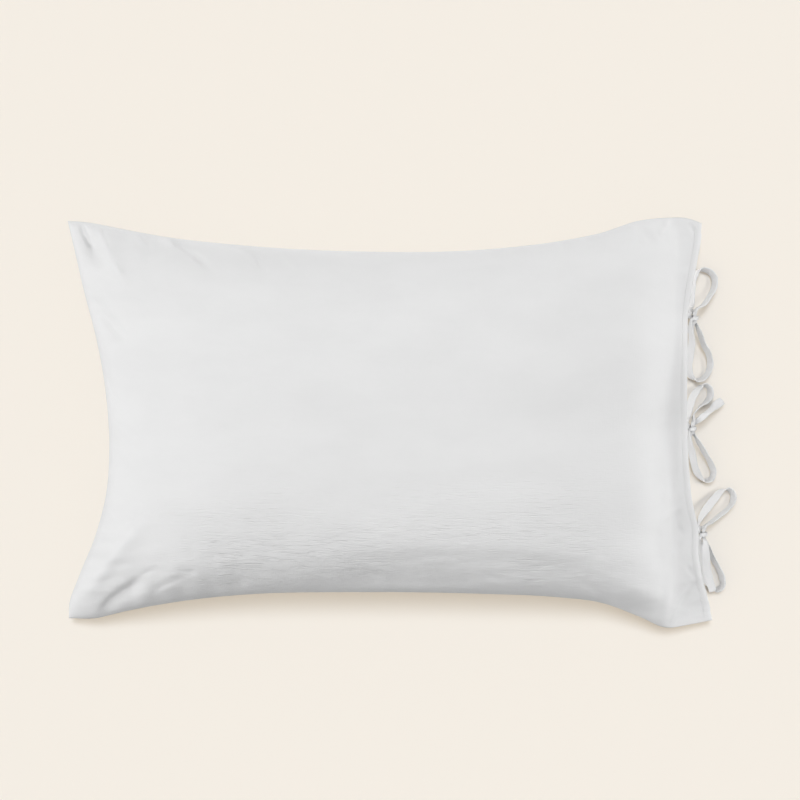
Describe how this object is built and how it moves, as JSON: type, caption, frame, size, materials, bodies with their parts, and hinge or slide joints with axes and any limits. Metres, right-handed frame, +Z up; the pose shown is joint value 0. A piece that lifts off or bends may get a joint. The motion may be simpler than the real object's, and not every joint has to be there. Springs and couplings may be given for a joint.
{
  "type": "pillowcase",
  "caption": "White cotton pillowcase filled by its pillow and lying flat, with closed sides and end and an open hemmed end that tied bows hold together.",
  "frame": {"origin": "middle of the filled case's box on the surface it rests on, measured without the ties", "axes": "+X along the case towards its open, tied end, +Y across it towards the first bow, +Z up from the surface it rests on"},
  "size_m": [0.8191, 0.4991, 0.1707],
  "materials": {
    "washed_cotton": "matt washed plain weave",
    "cotton_tie": "matt flat cotton tape"
  },
  "bodies": {
    "root": {"case": "washed_cotton", "bow1_tie_front": "cotton_tie", "bow1_tie_back": "cotton_tie", "bow2_tie_front": "cotton_tie", "bow2_tie_back": "cotton_tie", "bow3_tie_front": "cotton_tie", "bow3_tie_back": "cotton_tie"}
  },
  "joints": []
}
